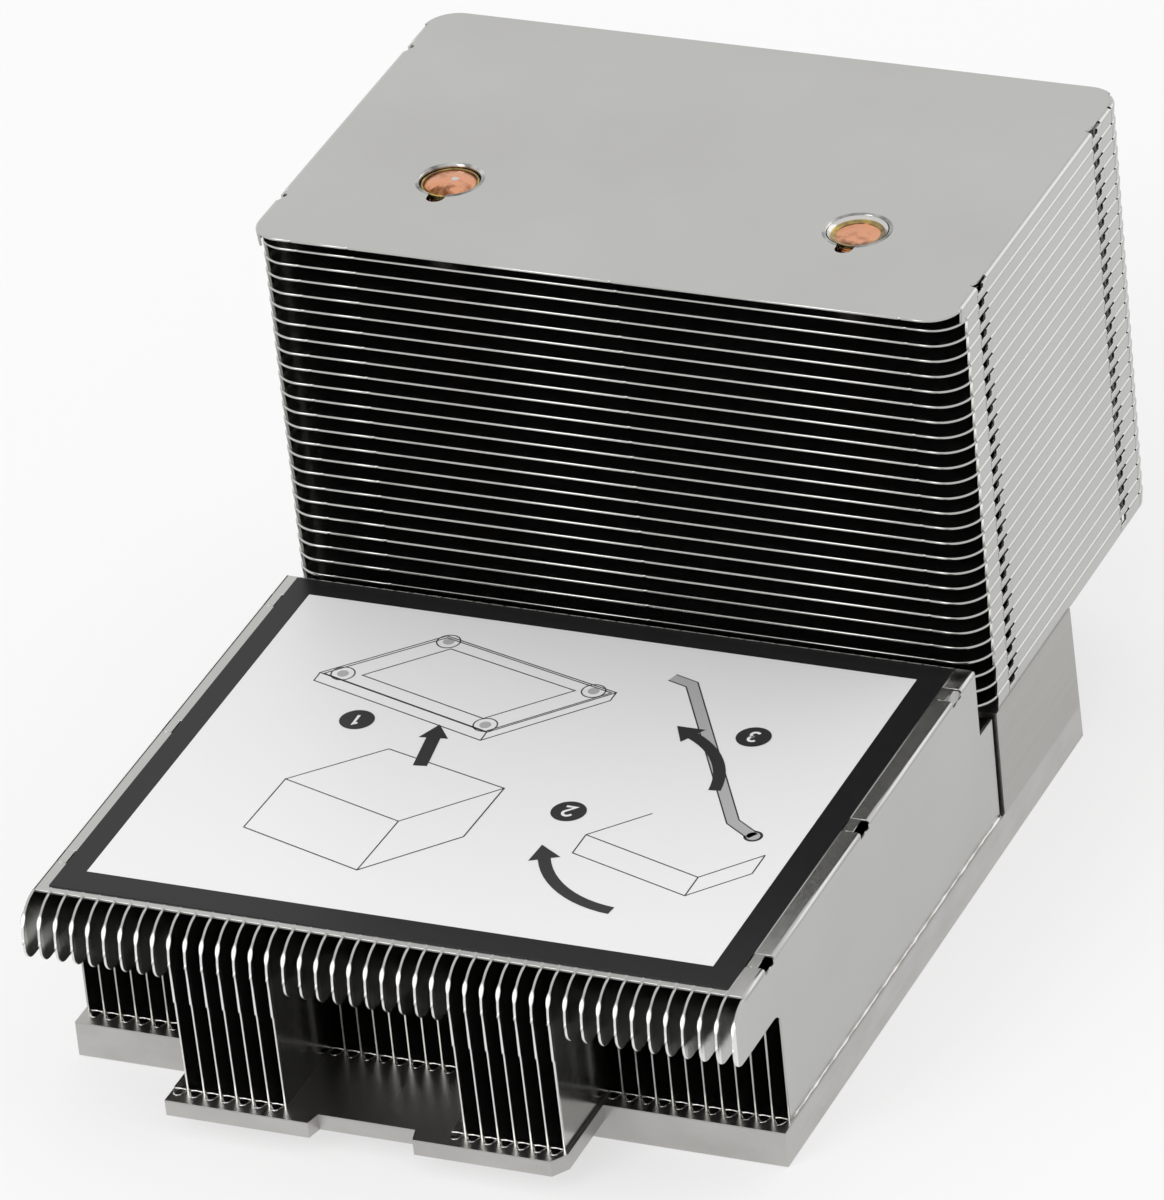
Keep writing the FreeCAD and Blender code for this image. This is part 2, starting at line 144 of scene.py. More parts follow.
# ------------------------------------------------------------ upright fins
# The low bank: 44 strips of nickel-bright sheet, stamped to a nosed or a long
# outline, folded at top, rear step and foot towards the left, and soldered to
# the base. Each fold butts against the next strip.
# An outline's edge shorter than SHORT_CHORD is part of a round, so it is smooth.
SHORT_CHORD = 0.9
sheet, tree, surface = shader("fin_sheet", (0.48, 0.48, 0.465), 1.0, 0.2)
grain = object_noise(tree, 1500.0, (1.0, 1.0, 1.0), 2.0)
tree.links.new(ramp(tree, grain, 0.17, 0.23), surface.inputs["Roughness"])
bump(tree, surface, grain, 0.02, 0.00001)
haze = object_noise(tree, 55.0, (1.0, 1.0, 1.0), 3.0)
tint(tree, surface, haze, (0.465, 0.462, 0.446), (0.49, 0.49, 0.476))
# The strips' foremost edges, in front of Y = -50.2 mm, are painted near white: a painted highlight on the
# fronts of the noses and long outlines.
painted_front_highlight = ramp(tree, along(tree, "Y"), 1.0, 0.0, -0.0504, -0.0502)
overlay(tree, surface, painted_front_highlight, (0.8, 0.8, 0.78))


def arc(x, y, radius, start, stop, steps):
    """Points at equal angles on a circle: centre plus radius times cosine and sine."""
    angle = np.radians(np.linspace(start, stop, steps + 1))
    return np.stack([x + radius * np.cos(angle), y + radius * np.sin(angle)], axis=1)


def outward(loop):
    """Mitred outward direction at each corner of a loop that runs anticlockwise."""
    before = loop - np.roll(loop, 1, axis=0)
    after = np.roll(loop, -1, axis=0) - loop
    normals = []
    for step in (before, after):
        step = step / np.maximum(np.linalg.norm(step, axis=1, keepdims=True), 1e-9)
        normals.append(np.stack([step[:, 1], -step[:, 0]], axis=1))
    middle = normals[0] + normals[1]
    middle = middle / np.maximum(np.linalg.norm(middle, axis=1, keepdims=True), 1e-9)
    return middle / np.maximum((middle * normals[0]).sum(axis=1, keepdims=True), 0.5)


def caps(loops, first, rings, flip):
    """Triangles that close one ring of every loop."""
    outline = [[Vector((p[0], p[1], 0.0)) for p in loop] for loop in loops]
    flat = np.concatenate(loops)
    where = []
    for loop, start, ring in zip(loops, first, rings):
        where += [start + ring * len(loop) + i for i in range(len(loop))]
    faces = []
    for a, b, c in tessellate_polygon(outline):
        area = np.cross(flat[b] - flat[a], flat[c] - flat[a])
        if abs(area) < 1e-12:
            continue
        order = (a, b, c) if (area > 0) != flip else (a, c, b)
        faces.append([where[i] for i in order])
    return faces


def anticlockwise(loop):
    """The loop, turned round if its area, half the sum of cross products, is negative."""
    area = np.cross(loop, np.roll(loop, -1, axis=0)).sum()
    return loop if area > 0 else loop[::-1]


def quads(first, rows, size):
    """Faces between the rings of a grid closed one way: corners first + row * size + i,
    their neighbours round the ring, and the same two one ring on."""
    lower = first + np.arange(rows - 1)[:, None] * size + np.arange(size)
    after = np.roll(lower, -1, axis=1)
    return np.stack([lower, after, after + size, lower + size], axis=2).reshape(-1, 4).tolist()


def skin_over(rows):
    """Closed skin over rings of points: quads between them and a face on either end."""
    size = len(rows[0])
    ends = [list(range(size))[::-1], [(len(rows) - 1) * size + i for i in range(size)]]
    faces = quads(0, len(rows), size) + ends
    return np.concatenate(rows), faces, [True] * len(faces)


def plate(loops, low, high, rim=0.06, bare=None):
    """Closed sheet between two heights: each loop, moved in by rim * (1 - sin a)
    at height rim * (1 - cos a) from either face, is a ring; bare says where the
    edge has no rim. The first loop runs anticlockwise and holes clockwise."""
    steps = [(0.0, 1.0), (0.3, 0.3), (1.0, 0.0)]
    levels = [(low + rim * up, into) for up, into in steps]
    levels += [(high - rim * up, into) for up, into in reversed(steps)]
    points, faces, smooth, first = [], [], [], []
    count = 0
    for number, loop in enumerate(loops):
        away = outward(loop)
        amount = np.full(len(loop), rim)
        if bare is not None and number == 0:
            amount = np.where(bare, 0.0, rim)
        first.append(count)
        for height, into in levels:
            ring = loop - away * (amount * into)[:, None]
            points.append(np.column_stack([ring, np.full(len(loop), height)]))
        size = len(loop)
        length = np.linalg.norm(np.roll(loop, -1, axis=0) - loop, axis=1)
        rounded = np.arange(len(levels) - 1) != 2
        faces += quads(count, len(levels), size)
        smooth += np.logical_or(rounded[:, None], length < SHORT_CHORD).ravel().tolist()
        count += size * len(levels)
    tops = caps(loops, first, [len(levels) - 1] * len(loops), False)
    bottoms = caps(loops, first, [0] * len(loops), True)
    faces += tops + bottoms
    smooth += [False] * (len(tops) + len(bottoms))
    return np.concatenate(points), faces, smooth


def turned(chunk, order):
    """The same sheet with its plan and height on other axes, in a cyclic order."""
    points, faces, smooth = chunk
    return points[:, order], faces, smooth


def volume(points, faces):
    """Signed volume of a closed sheet: a sixth of the triple products, fan by fan."""
    fans = np.array([(face[0], *pair) for face in faces for pair in zip(face[1:-1], face[2:])])
    corner = (points - points.mean(axis=0))[fans]
    return (corner[:, 0] * np.cross(corner[:, 1], corner[:, 2])).sum() / 6


def assemble(name, chunks, material, node):
    """One object from many closed sheets, each turned the right way by the sign of
    its volume, with sharp edges round flat faces. It takes a CAD node's place or,
    without one, is added."""
    points, faces, smooth = [], [], []
    count = 0
    for chunk in chunks:
        points.append(chunk[0])
        turn = 1 if volume(chunk[0], chunk[1]) > 0 else -1
        faces += [[i + count for i in face[::turn]] for face in chunk[1]]
        smooth += chunk[2]
        count += len(chunk[0])
    mesh = bpy.data.meshes.new(name)
    mesh.from_pydata((np.concatenate(points) * MM).tolist(), [], faces)
    mesh.polygons.foreach_set("use_smooth", smooth)
    corners = [len(face) for face in faces]
    edge_at = np.empty(sum(corners), dtype=np.int32)
    mesh.loops.foreach_get("edge_index", edge_at)
    sharp = np.zeros(len(mesh.edges), dtype=bool)
    sharp[edge_at[np.repeat(np.logical_not(smooth), corners)]] = True
    mesh.edges.foreach_set("use_edge_sharp", sharp)
    mesh.materials.append(material)
    piece = bpy.data.objects.new(name, mesh)
    bpy.context.collection.objects.link(piece)
    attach(piece, "root")
    if node:
        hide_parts(node)
    return piece


GAUGE = 0.27
PITCH = 1.79
FIRST_FACE = 0.36
BANK_HALF = 38.665
BANK_TOP = 23.6
FOLD = 0.42
BASE_TOP = 4.0
NOSE_Y = -47.4
NOSE_Z = 20.0
NOSE_ROUND = 3.6
NOSED_FOOT = -39.55
LONG_FOOT = -50.4
FOOT_SET_BACK = 0.15
FOLD_REAR = 15.4
STEP_REAR = 18.8
STEP_TOP = 15.8
WINDOWS = [-40.9, -15.25, 10.4]
WINDOW_HALF = 1.2
WINDOW_ACROSS = 0.9
WINDOW_DROP = 0.8
LAP = 0.2
SEAM = 0.015
FOOT_SHEET = 0.13
STRIP_RIM = 0.04


def folded_edge(width):
    """Section of a fold: flat sheet, quarter bend, and the start of the web.
    Across from the web's outer face at 0 towards the left, height from the top."""
    outer = arc(-FOLD, -FOLD, FOLD, 0, 90, 5)
    inner = arc(-FOLD, -FOLD, FOLD - GAUGE, 90, 0, 3)
    tip = arc(-width + 0.03, -0.03, 0.03, 90, 180, 2)
    under = arc(-width + 0.03, -GAUGE + 0.03, 0.03, 180, 270, 2)
    return np.concatenate([outer, tip, under, inner])


def window_spans(low, high):
    """The stretches of a fold between its three zipper windows, and the windows."""
    edges = [low]
    for middle in WINDOWS:
        edges += [middle - WINDOW_HALF, middle + WINDOW_HALF]
    edges.append(high)
    return list(zip(edges[0::2], edges[1::2])), list(zip(edges[1::2][:-1], edges[2::2]))


def bead(path, radius, flat=1.0):
    """Round or flattened bead along a path: point = path + radius * (cosine *
    sideways + flat * sine * upwards)."""
    path, radius = np.array(path, float), np.array(radius, float)
    ahead = np.gradient(path, axis=0)
    ahead /= np.linalg.norm(ahead, axis=1, keepdims=True)
    aside = np.cross(ahead, np.array([0.0, 0.0, 1.0]))
    aside /= np.linalg.norm(aside, axis=1, keepdims=True)
    above = np.cross(aside, ahead)
    turn = np.linspace(0, 2 * math.pi, 13)[:-1]
    rows = [place + size * (np.cos(turn)[:, None] * side + flat * np.sin(turn)[:, None] * top)
            for place, size, side, top in zip(path, radius, aside, above)]
    return skin_over(rows)


def rolled_edge(x):
    """What the punch rolled up on a nose: a spindle along the arc, thickest in its
    middle, a dot where the fold begins and a knob below the spindle."""
    angle = np.radians(np.linspace(52, 10, 14))
    spindle = np.column_stack([np.full(14, x), NOSE_Y - NOSE_ROUND * np.cos(angle),
                               NOSE_Z + NOSE_ROUND * np.sin(angle)])
    swell = 0.04 + 0.23 * np.sin(np.linspace(0, math.pi, 14)) ** 1.5
    dot = [(x, -47.75, 23.44), (x, -47.6, 23.5), (x, -47.45, 23.52), (x, -47.2, 23.5)]
    knob = [(x, -51.0, 19.62), (x, -51.03, 19.5), (x, -51.05, 19.38), (x, -51.0, 19.25)]
    return [
        bead(spindle, swell, 0.3),
        bead(dot, [0.06, 0.15, 0.17, 0.05]),
        bead(knob, [0.04, 0.14, 0.15, 0.04]),
    ]


def flat_strip(left, right, bottom, top, low, high):
    """Oblong flange between two X and two Z values, from one Y value to another."""
    section = np.array([[bottom, left], [top, left], [top, right], [bottom, right]])
    return turned(plate([section], low, high, STRIP_RIM), [1, 2, 0])


def upright_fin(index, kind, folded):
    """One strip: the web's outline in the YZ plane, then its folds along Y."""
    face = index * PITCH - BANK_HALF + FIRST_FACE
    top = BANK_TOP - (FOLD if folded else 0.0)
    foot = NOSED_FOOT if kind == "nosed" else LONG_FOOT
    rear = [[STEP_REAR, BASE_TOP], [STEP_REAR, STEP_TOP], [FOLD_REAR, STEP_TOP], [FOLD_REAR, top]]
    loop = [np.array(rear)]
    if folded:
        spans, windows = window_spans(NOSE_Y, FOLD_REAR)
        for low, high in reversed(windows):
            sill = BANK_TOP - WINDOW_DROP
            loop.append(np.array([[high, top], [high, sill], [low, sill], [low, top]]))
        loop.append(np.array([[NOSE_Y, top]]))
    loop.append(arc(NOSE_Y, NOSE_Z, NOSE_ROUND, 90, 180, 12))
    loop.append(np.array([[-51.0, 19.62], [-51.1, 19.52], [-51.1, 19.34], [-50.98, 19.24]]))
    if kind == "nosed":
        loop.append(arc(-49.3, 18.7, 1.7, 180, 270, 6))
        loop.append(arc(-41.15, 15.4, 1.6, 90, 0, 6))
        loop.append(np.array([[foot, BASE_TOP]]))
    else:
        loop.append(np.array([[-50.9, 15.05], [-50.92, 14.95], [-50.72, 14.78], [foot, BASE_TOP]]))
    chunks = [turned(plate([np.concatenate(loop)], face - GAUGE, face), [2, 0, 1])]
    chunks += rolled_edge(face - GAUGE / 2)
    if not folded:
        return chunks
    section = folded_edge(PITCH + LAP)
    for low, high in spans:
        profile = section + np.array([face, BANK_TOP])
        profile = anticlockwise(profile[:, ::-1])
        chunks.append(turned(plate([profile], low, high, STRIP_RIM), [1, 2, 0]))
    for low, high in windows:
        left, right = face - PITCH - LAP, face - WINDOW_ACROSS
        chunks.append(flat_strip(left, right, BANK_TOP - GAUGE, BANK_TOP, low, high))
    left, right = face - PITCH + SEAM, face - GAUGE
    chunks.append(flat_strip(left, right, STEP_TOP - GAUGE, STEP_TOP, FOLD_REAR, STEP_REAR))
    chunks.append(flat_strip(left, right, BASE_TOP, BASE_TOP + FOOT_SHEET, foot + FOOT_SET_BACK, STEP_REAR))
    return chunks


BANKS = [
    ("end_fin", "nosed", 0, 1),
    ("nosed_fins_left", "nosed", 1, 9),
    ("long_fins_left", "long", 9, 16),
    ("nosed_fins_middle", "nosed", 16, 26),
    ("long_fins_right", "long", 26, 33),
    ("nosed_fins_right", "nosed", 33, 44),
]
for node, kind, start, stop in BANKS:
    chunks = []
    for index in range(start, stop):
        chunks += upright_fin(index, kind, index > 0)
    assemble(node + "_strips", chunks, sheet, node)

# -------------------------------------------------------------- level fins
# The tall stack: 27 plates of the same sheet, their sides folded down by one
# pitch so that each stands on the next; two corners keep the fold halfway
# round. Hooked slots in the folds are the zipper.
HALF = 38.965
LEVEL = 1.78
BACK = 66.0
CORNER = 3.5
FRONT = 17.0
TOP_FRONT = 15.8
STACK_FOOT = 16.1
LEVEL_FINS = 27
STACK_TOP = STACK_FOOT + LEVEL_FINS * LEVEL
SLOTS = [(23.45, 24.95), (56.55, 58.05)]
SLOT_TOP = -0.9
SLIT = 1.15
SLIT_TOP = -0.3
NOTCH = (62.0, 62.3)
NOTCH_TOP = -0.25
BITE = np.array([(0.0, 0.0), (0.42, 0.05), (0.5, 0.3), (0.22, 0.6), (0.0, 1.0)])
NICKS = (-33.8, -27.4, 1.9, 33.5)
PIPE_LINE = 31.7
PIPE_SIDE = 22.7
HOLE = 3.15
TOP_HOLE = 3.32
# A section's edge shorter than SHORT_STEP is part of a round, so it is smooth.
SHORT_STEP = 0.3


def fold_path(side, front, low_wrap, high_wrap):
    """Plan of one fold from front to rear: line at x = side * (HALF - FOLD), with
    arcs of radius CORNER - FOLD over the wrapped parts of the corners."""
    turn = np.radians(np.concatenate([np.linspace(-low_wrap, 0, 7), np.linspace(0, high_wrap, 7)]))
    away = np.column_stack([side * np.cos(turn), np.sin(turn)])
    centre_y = np.repeat([front + CORNER, BACK - CORNER], 7)
    centre = np.column_stack([np.full(14, side * (HALF - CORNER)), centre_y])
    return centre + (CORNER - FOLD) * away, away


def sweep(profile, points, away, level):
    """Profile (outward, height) carried along a plan path, with flat ends:
    point = path + outward * away, height = level + height."""
    profile = anticlockwise(profile)[::-1]
    rows = []
    for place, direction in zip(points, away):
        plan = place + profile[:, :1] * direction
        rows.append(np.column_stack([plan, level + profile[:, 1]]))
    size = len(profile)
    length = np.linalg.norm(np.roll(profile, -1, axis=0) - profile, axis=1)
    smooth = np.tile(length < SHORT_STEP, len(rows) - 1).tolist()
    ends = caps([profile], [0], [0], False) + caps([profile], [0], [len(rows) - 1], True)
    smooth += [False] * len(ends)
    return np.concatenate(rows), quads(0, len(rows), size) + ends, smooth


def fold_section(top):
    """Section of a side fold, or of what a zipper slot leaves of it."""
    foot = -LEVEL - 0.1
    lean = 0.13
    heel = np.concatenate([
        arc(FOLD - lean - 0.04, foot + 0.04, 0.04, 0, -90, 2),
        arc(FOLD - lean - GAUGE + 0.04, foot + 0.04, 0.04, -90, -180, 2),
    ])
    if top < 0:
        crest = np.concatenate([
            arc(FOLD - GAUGE + 0.05, top - 0.05, 0.05, 180, 90, 2),
            arc(FOLD - 0.05, top - 0.05, 0.05, 90, 0, 2),
        ])
        return np.concatenate([crest, heel])
    return np.concatenate([
        arc(0.0, -FOLD, FOLD, 90, 0, 6), heel, arc(0.0, -FOLD, FOLD - GAUGE, 0, 90, 3),
    ])


def cut_path(points, away, low, high):
    """The part of a fold's path between two Y values on its straight run."""
    y = points[:, 1]
    keep = (y > low) & (y < high)
    straight = points[np.abs(away[:, 1]) < 1e-6][0]
    out_points, out_away = list(points[keep]), list(away[keep])
    sideways = np.array([np.sign(straight[0]), 0.0])
    if y.min() < low < y.max():
        out_points.insert(0, np.array([straight[0], low]))
        out_away.insert(0, sideways)
    if y.min() < high < y.max():
        out_points.append(np.array([straight[0], high]))
        out_away.append(sideways)
    return np.array(out_points), np.array(out_away)


def plan_outline(front, wraps, bites):
    """Outline of the flat sheet, anticlockwise, with shear nicks in its front edge,
    and where a fold takes over; the top fin's outline has bites where the zipper
    slots reach over its edge."""
    loop, bare = [], []

    def add(points, folded):
        """Append a stretch of the outline and whether a fold takes over there."""
        loop.append(points)
        bare.extend([folded] * len(points))

    centre = HALF - CORNER
    inner = CORNER - FOLD
    corners = [
        ("right_front", centre, front + CORNER, -90),
        ("right_rear", centre, BACK - CORNER, 0),
        ("left_rear", -centre, BACK - CORNER, 90),
        ("left_front", -centre, front + CORNER, 180),
    ]
    for name, x, y, start in corners:
        wrap = wraps[name]
        towards_side = name in ("right_front", "left_rear")
        if towards_side:
            add(arc(x, y, CORNER, start, start + 90 - wrap, 9), False)
            add(arc(x, y, inner, start + 90 - wrap, start + 90, 4), True)
        else:
            add(arc(x, y, inner, start, start + wrap, 4), True)
            add(arc(x, y, CORNER, start + wrap, start + 90, 9), False)
        if bites and towards_side:
            turn = 1 if name == "right_front" else -1
            edge = HALF - FOLD
            for low, high in SLOTS if turn > 0 else [pair[::-1] for pair in SLOTS[::-1]]:
                y = low + (high - low) * BITE[:, 1]
                add(np.column_stack([turn * (edge - BITE[:, 0]), y]), True)
        if name == "left_front":
            for place in NICKS:
                add(np.array([[place - 0.3, front], [place, front + 0.1], [place + 0.12, front]]), False)
    return np.concatenate(loop), np.array(bare)


def pipe_hole(x, radius, slot):
    """Clockwise hole; with a slot, a keyhole whose tail points to the front."""
    if not slot:
        return arc(x, PIPE_LINE, radius, 360, 0, 24)[:-1]
    tail = 0.95
    half = math.degrees(math.asin(tail / radius))
    round_part = arc(x, PIPE_LINE, radius, 270 - half, -90 + half, 26)
    return np.concatenate([round_part, arc(x, 27.85, tail, 360, 180, 8)])


def level_fin(level, front, collar):
    """Flat sheet with its pipe holes, then both folds: uncut spans, slots with a
    hook tab behind each, slits and the notch by the rear corner."""
    wraps = {"right_front": 4.0, "right_rear": 50.0, "left_rear": 4.0, "left_front": 42.0}
    outline, bare = plan_outline(front, wraps, collar)
    holes = [pipe_hole(x, TOP_HOLE if collar else HOLE, collar) for x in (-PIPE_SIDE, PIPE_SIDE)]
    chunks = [plate([outline] + holes, level - GAUGE, level, 0.07, bare)]
    for side in (-1, 1):
        low_wrap = wraps["left_front"] if side < 0 else wraps["right_front"]
        high_wrap = wraps["left_rear"] if side < 0 else wraps["right_rear"]
        points, away = fold_path(side, front, low_wrap, high_wrap)
        spans = []
        start = -1e3
        for low, high in SLOTS:
            spans += [(start, low, 0.0), (low, high, SLOT_TOP), (high, high + SLIT, SLIT_TOP)]
            start = high + SLIT
        spans += [(start, NOTCH[0], 0.0), (*NOTCH, NOTCH_TOP), (NOTCH[1] + 0.05, 1e3, 0.0)]
        for low, high, top in spans:
            part, direction = cut_path(points, away, low, high)
            chunks.append(sweep(fold_section(top), part, direction, level))
            if top == SLOT_TOP:
                crown = -0.45 if collar else 0.3
                hook = np.array([[-0.3, crown], [-0.08, crown], [-0.08, -1.2], [-0.3, -1.2]])
                chunks.append(sweep(hook, part, direction, level))
    return chunks


for number in range(1, LEVEL_FINS):
    node = "level_fin_%02d" % number
    chunks = level_fin(STACK_FOOT + number * LEVEL, FRONT, False)
    assemble(node + "_sheet", chunks, sheet, node)
assemble("top_fin_sheet", level_fin(STACK_TOP, TOP_FRONT, True), sheet, "top_fin")


def ring(x, radius, profile, level, gap=0.0):
    """Profile (outward, height) turned round a pipe's axis, open by twice the gap
    angle at the front: plan = axis + (radius + outward) * (cosine, sine)."""
    angles = np.radians(np.linspace(-90 + gap, 270 - gap, 65))
    away = np.stack([np.cos(angles), np.sin(angles)], axis=1)
    return sweep(profile, np.array([x, PIPE_LINE]) + radius * away, away, level)


# The two collars drawn up from the top fin, open at the front like its slots.
lip, tree, surface = shader("collar_lip", (0.4, 0.4, 0.39), 1.0, 0.14)
# The collar metal is painted in dark and light patches, drawn out upright: painted reflections of dark and
# bright surroundings in its crown.
painted_reflections = object_noise(tree, 420.0, (1.0, 1.0, 0.4), 2.0)
tint(tree, surface, painted_reflections, (0.12, 0.12, 0.12), (0.6, 0.6, 0.58))
collar = np.array([
    [0.56, -0.02], [0.46, 0.02], [0.34, 0.07], [0.26, 0.08], [0.18, 0.05], [0.1, -0.02],
    [0.04, -0.14], [0.02, -0.4], [0.02, -1.2], [0.24, -1.2], [0.26, -0.3],
])
assemble("pipe_collars", [ring(x, 3.16, collar, STACK_TOP, 17.0) for x in (-PIPE_SIDE, PIPE_SIDE)],
         lip, None)

# ---------------------------------------------------------------- heat pipes
# Two copper tubes: pressed flat where they lie in the base, bent up through the
# tall stack and soldered. The left one's end is spun shut and crimped, the right
# one's is cut flat and sits lower in its collar.
copper, tree, surface = shader("copper_pipe", (0.7, 0.33, 0.19), 1.0, 0.22)
tarnish = object_noise(tree, 900.0, (1.0, 1.0, 1.0))
tree.links.new(ramp(tree, tarnish, 0.18, 0.4), surface.inputs["Roughness"])
bump(tree, surface, tarnish, 0.35, 0.00015)
# Dark brown is painted over the copper: random patches stand for burnt flux, and a steady darkening towards
# the front, from Y = 31.8 mm forward, is painted shade on the front side of the ends.
flux_stain_and_front_shade = tree.nodes.new("ShaderNodeMath")
flux_stain_and_front_shade.operation = "ADD"
tree.links.new(ramp(tree, along(tree, "Y"), 0.45, 0.0, 0.0292, 0.0318), flux_stain_and_front_shade.inputs[0])
tree.links.new(ramp(tree, tarnish, 0.0, 0.4, 0.35, 0.65), flux_stain_and_front_shade.inputs[1])
tint(tree, surface, flux_stain_and_front_shade.outputs["Value"], (0.7, 0.33, 0.19), (0.2, 0.075, 0.025))
solder, tree, surface = shader("solder", (0.58, 0.57, 0.55), 1.0, 0.15)
lumps = object_noise(tree, 800.0, (1.0, 1.0, 1.0), 2.0)
bump(tree, surface, lumps, 0.5, 0.0002)
flux, tree, surface = shader("flux", (0.4, 0.28, 0.08), 1.0, 0.18)
stains = object_noise(tree, 650.0, (1.0, 1.0, 1.0), 2.0)
tint(tree, surface, stains, (0.5, 0.36, 0.12), (0.16, 0.12, 0.06))
bump(tree, surface, stains, 0.4, 0.0002)
LEFT_TIP = 63.98
RIGHT_TIP = 63.62
PIPE_END = -30.25
PIPE_LEVEL = 2.35
BEND = 8.0
BEND_START = PIPE_LINE - BEND
SPUN = [(3.0, -0.9), (2.97, -0.62), (2.88, -0.42), (2.7, -0.27), (2.4, -0.15), (2.0, -0.08),
        (1.5, -0.03), (1.0, 0.0), (0.5, 0.0), (0.1, -0.02)]
CUT_FLAT = [(3.0, -0.9), (3.0, -0.5), (2.93, -0.26), (2.78, -0.1), (2.58, -0.02), (2.4, 0.0),
            (2.3, -0.03), (1.5, -0.03), (0.8, -0.03), (0.1, -0.03)]


def tube(x, tip, end, crimps):
    """Pipe swept along its centre line: a leg, a quarter circle and a shaft. Each
    section is a superellipse, across = a * |cos t| ^ (2 / p) and likewise for b,
    with a, b, p going from 3.8, 1.6, 4 when flat to 3, 3, 2 when round. The end is
    turned, and each crimp lowers it by a bell curve of the angle, stronger
    towards the rim."""
    turn = np.linspace(0, 2 * math.pi, 65)[:-1]
    path = [(PIPE_END, PIPE_LEVEL, 0.0, 0.97, 0.0), (PIPE_END + 0.2, PIPE_LEVEL, 0.0, 1.0, 0.0),
            (BEND_START, PIPE_LEVEL, 0.0, 1.0, 0.0)]
    bend_top = PIPE_LEVEL + BEND
    for angle in np.radians(np.linspace(0, 90, 13))[1:]:
        y, z = BEND_START + BEND * math.sin(angle), bend_top - BEND * math.cos(angle)
        path.append((y, z, angle, 1.0, 0.0))
    for step in np.linspace(0, 1, 7)[1:]:
        path.append((PIPE_LINE, bend_top + 4.0 * step, math.pi / 2, 1.0, step))
    rings = []
    for y, z, angle, scale, ease in path:
        a, b, power = 3.8 - 0.8 * ease, 1.6 + 1.4 * ease, 4.0 - 2.0 * ease
        across = scale * a * np.sign(np.cos(turn)) * np.abs(np.cos(turn)) ** (2 / power)
        up = scale * b * np.sign(np.sin(turn)) * np.abs(np.sin(turn)) ** (2 / power)
        rings.append(np.column_stack([x + across, y - up * math.sin(angle), z + up * math.cos(angle)]))
    sag = np.zeros_like(turn)
    for centre, width, depth in crimps:
        away = (turn - centre + math.pi) % (2 * math.pi) - math.pi
        sag += depth * np.exp(-(away / width) ** 2)
    for radius, drop in end:
        rings.append(np.column_stack([x + radius * np.cos(turn), PIPE_LINE - radius * np.sin(turn),
                                      tip + drop - sag * (radius / 2.7) ** 2]))
    points, faces, smooth = skin_over(rings)
    # The end in the base is cut flat.
    smooth[-2] = False
    return points, faces, smooth


def drop_of_solder(x, y, z, wide, high, stretch=1.0):
    """Small dome: height = high * (1 - (r / wide) ^ 2), on a short skirt. Its plan
    has three lobes and is stretched along Y."""
    turn = np.linspace(0, 2 * math.pi, 19)[:-1]
    share = np.array([1.0, 1.0, 0.8, 0.55, 0.3, 0.05])[:, None]
    height = high * (1 - share * share)
    height[0] = -0.3
    across = x + wide * share * np.cos(turn) * (1 + 0.15 * np.sin(3 * turn))
    lengthways = y + stretch * wide * share * np.sin(turn)
    return skin_over(np.stack([across, lengthways, np.tile(z + height, len(turn))], axis=2))


CRIMPS = [(0.9, 0.13, 0.45), (1.3, 0.11, 0.7), (1.72, 0.12, 0.5), (2.1, 0.1, 0.75), (2.45, 0.13, 0.5),
          (1.7, 0.8, 0.25)]
left_tube = tube(-PIPE_SIDE, LEFT_TIP, SPUN, CRIMPS)
right_tube = tube(PIPE_SIDE, RIGHT_TIP, CUT_FLAT, [])
assemble("heat_pipe_left_tube", [left_tube], copper, "heat_pipe_left")
assemble("heat_pipe_right_tube", [right_tube], copper, "heat_pipe_right")
thin_ring = np.array([[-0.02, -0.5], [0.24, -0.5], [0.23, 0.08], [0.18, 0.04], [0.1, -0.02], [0.04, 0.0],
                      [-0.02, 0.08]])
wide_ring = np.array([[0.0, -0.4], [0.5, -0.4], [0.48, 0.2], [0.38, 0.1], [0.2, 0.05], [0.1, 0.06],
                      [0.0, 0.03]])
funnel = np.array([[-0.02, -0.6], [0.44, -0.6], [0.43, 0.02], [0.36, -0.02], [0.22, -0.12], [0.1, -0.26],
                   [0.0, -0.34]])
left_flux = ring(-PIPE_SIDE, 2.82, thin_ring, LEFT_TIP - 0.26)
right_flux = ring(PIPE_SIDE, 2.32, wide_ring, RIGHT_TIP + 0.02)
assemble("pipe_flux", [left_flux, right_flux], flux, None)
tip_drop = drop_of_solder(-22.4, 32.3, LEFT_TIP - 0.05, 0.45, 0.2)
right_funnel = ring(PIPE_SIDE, 2.72, funnel, 64.1, 15.0)
assemble("pipe_solder", [tip_drop, right_funnel], solder, None)

# ------------------------------------------------------------- loose solder
# Solder that ran out: pools before the feet, and a run with a blob at the riser
# along the last strip's foot.
RUN_X = 38.68
RUN_LIMIT = 38.95
run = np.linspace(18.6, -38.8, 90)
wander = 0.06 * np.sin(run * 1.7) + 0.04 * np.sin(run * 4.3 + 1.0)
thick = np.clip(0.13 + 0.05 * np.sin(run * 0.9) + 0.05 * np.sin(run * 2.3 + 2.0), 0.05, 0.3)
thick[:6] = [0.34, 0.42, 0.36, 0.26, 0.2, 0.16]
thick[-1] = 0.03
foot_run = np.column_stack([RUN_X + 0.3 * wander, run, BASE_TOP + 0.02 + 0.2 * np.abs(wander)])
thick = np.minimum(thick, RUN_LIMIT - foot_run[:, 0])
assemble("foot_solder", [bead(foot_run, thick)], solder, None)
pools = []
for node, kind, start, stop in BANKS:
    foot = (NOSED_FOOT if kind == "nosed" else LONG_FOOT) + FOOT_SET_BACK
    for index in range(max(start, 1), stop):
        middle = index * PITCH - BANK_HALF + FIRST_FACE - GAUGE / 2 - PITCH / 2
        pools.append(drop_of_solder(middle, foot, BASE_TOP, 0.74, 0.08, 1.6))
assemble("foot_pools", pools, solder, None)

